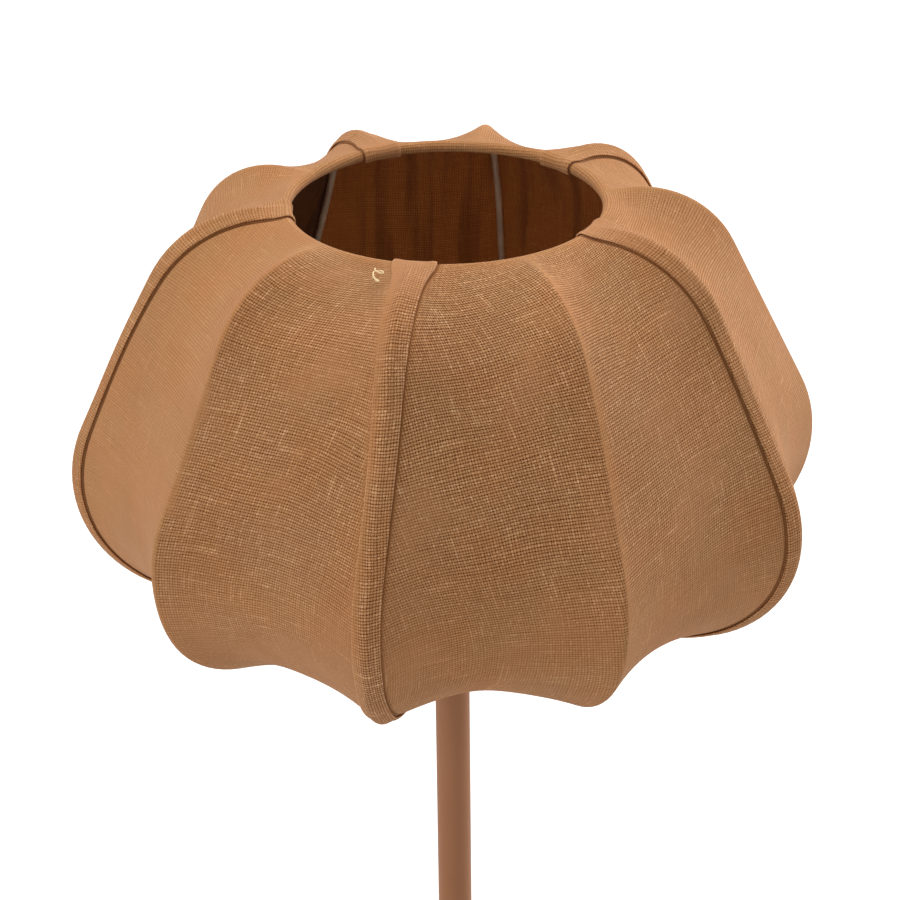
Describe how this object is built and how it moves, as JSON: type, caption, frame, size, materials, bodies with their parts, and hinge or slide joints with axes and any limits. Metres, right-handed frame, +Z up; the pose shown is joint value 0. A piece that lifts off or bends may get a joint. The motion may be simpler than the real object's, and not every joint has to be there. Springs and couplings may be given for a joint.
{
  "type": "table lamp",
  "caption": "Table lamp: scalloped linen shade stretched over bent wire ribs with banded seams, on a slim round stem and a weighted disc base.",
  "frame": {"origin": "centre of the lamp's underside, on the surface it stands on", "axes": "+Z up along the stem, -Y towards the viewer of the picture, +X to that viewer's right; the lead inlet is at the rear, +Y"},
  "size_m": [0.3494, 0.3459, 0.501],
  "materials": {
    "linen": "coarse plain-weave linen with slubs, unlined",
    "linen_band": "straight-grain linen band, edges turned under",
    "frame_wire": "grey lacquered wire",
    "brown_coat": "matt brown powder coat",
    "cast_iron": "rough casting",
    "zinc": "zinc plated",
    "brass": "bare",
    "felt": "pressed felt",
    "gland_rubber": "matt",
    "holder_plastic": "matt black moulding",
    "ceramic": "unglazed",
    "white_plastic": "satin moulding",
    "board": "white circuit board",
    "opal": "opal, satin"
  },
  "bodies": {
    "stand": {"felt_pad": "felt", "base_weight": "cast_iron", "base_cover": "brown_coat", "cord_gland": "gland_rubber", "base_washer": "zinc", "base_nut": "zinc", "stem_tube": "brown_coat", "foot_plug": "brown_coat", "head_plug": "brown_coat", "threaded_rod": "zinc", "rod_nut": "zinc", "holder_cap": "holder_plastic", "holder_insert": "ceramic", "centre_contact": "brass", "shell_contact": "brass", "holder_skirt": "holder_plastic"},
    "switch_bar": {"switch_bar": "holder_plastic"},
    "shade": {"fitter_ring": "frame_wire", "fitter_arm_1": "frame_wire", "fitter_arm_2": "frame_wire", "fitter_arm_3": "frame_wire", "top_ring": "frame_wire", "bottom_ring": "frame_wire", "rib_01": "frame_wire", "rib_02": "frame_wire", "rib_03": "frame_wire", "rib_04": "frame_wire", "rib_05": "frame_wire", "rib_06": "frame_wire", "rib_07": "frame_wire", "rib_08": "frame_wire", "rib_09": "frame_wire", "rib_10": "frame_wire", "panel_1": "linen", "panel_2": "linen", "panel_3": "linen", "panel_4": "linen", "panel_5": "linen", "seam_band_1": "linen_band", "seam_band_2": "linen_band", "seam_band_3": "linen_band", "seam_band_4": "linen_band", "seam_band_5": "linen_band"},
    "nut_washer": {"nut_washer": "zinc"},
    "ring_nut": {"ring_nut": "holder_plastic"},
    "bulb_tip": {"bulb_tip": "brass"},
    "bulb": {"bulb_insulator": "holder_plastic", "bulb_cap": "zinc", "bulb_housing": "white_plastic", "bulb_board": "board", "bulb_diffuser": "opal"}
  },
  "joints": [
    {"name": "switch_push", "type": "slide", "parent": "stand", "child": "switch_bar", "axis": [1, 0, 0], "range_m": [0, 0.006]},
    {"name": "shade_turn", "type": "hinge", "parent": "stand", "child": "shade", "pos_m": [0, 0, 0.3215], "axis": [0, 0, 1], "continuous": true},
    {"name": "nut_lift", "type": "slide", "parent": "stand", "child": "nut_washer", "axis": [0, 0, 1], "range_m": [0, 0.0075]},
    {"name": "nut_turn", "type": "hinge", "parent": "nut_washer", "child": "ring_nut", "pos_m": [0, 0, 0.3288], "axis": [0, 0, 1], "range_deg": [0, 1080]},
    {"name": "bulb_lift", "type": "slide", "parent": "stand", "child": "bulb_tip", "axis": [0, 0, 1], "range_m": [0, 0.01815]},
    {"name": "bulb_turn", "type": "hinge", "parent": "bulb_tip", "child": "bulb", "pos_m": [0, 0, 0.33], "axis": [0, 0, 1], "range_deg": [0, 1800]}
  ],
  "couplings": [
    {"joint": "nut_lift", "follows": "nut_turn", "m_per_rad": 0.00039789},
    {"joint": "bulb_lift", "follows": "bulb_turn", "m_per_rad": 0.00057757}
  ]
}
